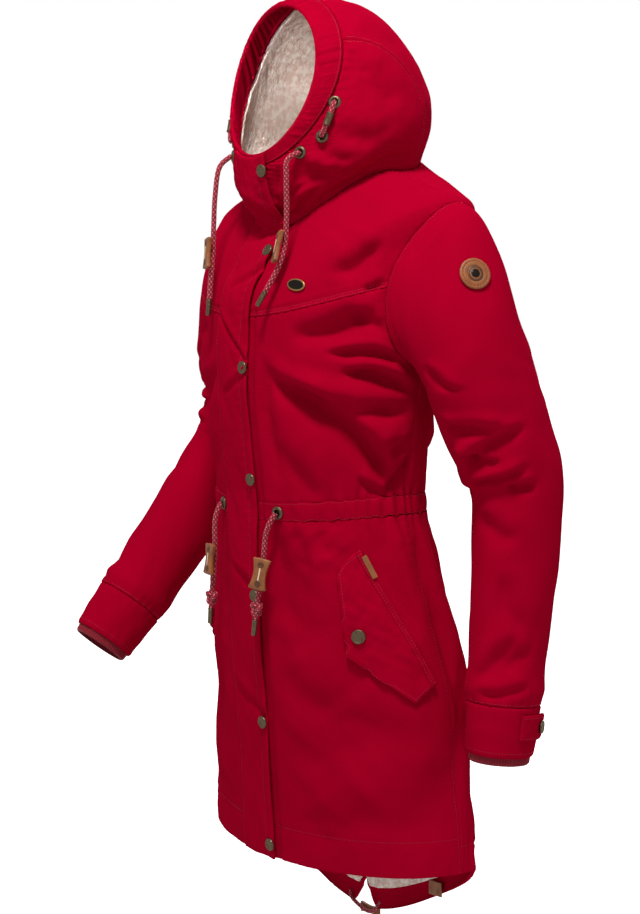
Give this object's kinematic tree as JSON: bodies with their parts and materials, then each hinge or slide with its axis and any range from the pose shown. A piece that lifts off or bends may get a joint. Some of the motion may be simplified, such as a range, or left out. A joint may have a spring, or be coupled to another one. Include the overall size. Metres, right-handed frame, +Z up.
{
  "type": "hooded parka",
  "caption": "Worn-shape hooded winter parka, hollow: storm placket with snaps, drawn waist, slanted pocket flaps, fleece-lined hood, fishtail back hem, cords with toggles.",
  "frame": {"origin": "middle of the neck, level with the shoulders, where the wearer's neck and shoulders hold the garment up", "axes": "+Z up, the wearer faces -Y, the wearer's left is +X"},
  "size_m": [0.5861, 0.3102, 1.0683],
  "materials": {
    "shell cloth": "matte woven, dark red",
    "rib knit": "ribbed knit, dark red",
    "fleece": "curly pile, cream",
    "braided cord": "braided, red with pale flecks",
    "leather": "brown, smooth",
    "aged brass": "darkened, worn on the edges"
  },
  "bodies": {
    "root": {"hood_rim": "shell cloth", "hood_centre": "shell cloth", "hood_side_left": "shell cloth", "hood_side_right": "shell cloth", "hood_lining": "fleece", "yoke_front_left": "shell cloth", "yoke_front_right": "shell cloth", "front_left": "shell cloth", "front_right": "shell cloth", "back": "shell cloth", "waist_tunnel": "shell cloth", "skirt_front_left": "shell cloth", "skirt_front_right": "shell cloth", "skirt_back_left": "shell cloth", "skirt_back_right": "shell cloth", "lining_back_left": "fleece", "lining_back_right": "fleece", "placket": "shell cloth", "sleeve_left": "shell cloth", "sleeve_right": "shell cloth", "cuff_left": "shell cloth", "cuff_right": "shell cloth", "rib_left": "rib knit", "rib_right": "rib knit", "cuff_tab_left": "shell cloth", "cuff_tab_right": "shell cloth", "pocket_flap_left": "shell cloth", "pocket_flap_right": "shell cloth", "snap_front_1": "aged brass", "snap_front_2": "aged brass", "snap_front_3": "aged brass", "snap_front_4": "aged brass", "snap_front_5": "aged brass", "snap_front_6": "aged brass", "snap_front_7": "aged brass", "snap_flap_left": "aged brass", "snap_flap_right": "aged brass", "snap_cuff_left": "aged brass", "snap_cuff_right": "aged brass", "badge_sleeve": "leather", "badge_chest": "aged brass", "cord_hood_left": "braided cord", "cord_hood_right": "braided cord", "cord_waist_left": "braided cord", "cord_waist_right": "braided cord", "tip_hood_left": "aged brass", "tip_hood_right": "aged brass", "tip_waist_left": "aged brass", "tip_waist_right": "aged brass", "toggle_hood_left": "leather", "toggle_hood_right": "leather", "toggle_waist_left": "leather", "toggle_waist_right": "leather", "hood_loop_left": "braided cord", "hood_loop_right": "braided cord", "eyelet_waist_left": "aged brass", "eyelet_waist_right": "aged brass", "pocket_tag": "leather", "hem_label": "leather", "hem_toggle": "leather"}
  },
  "joints": []
}
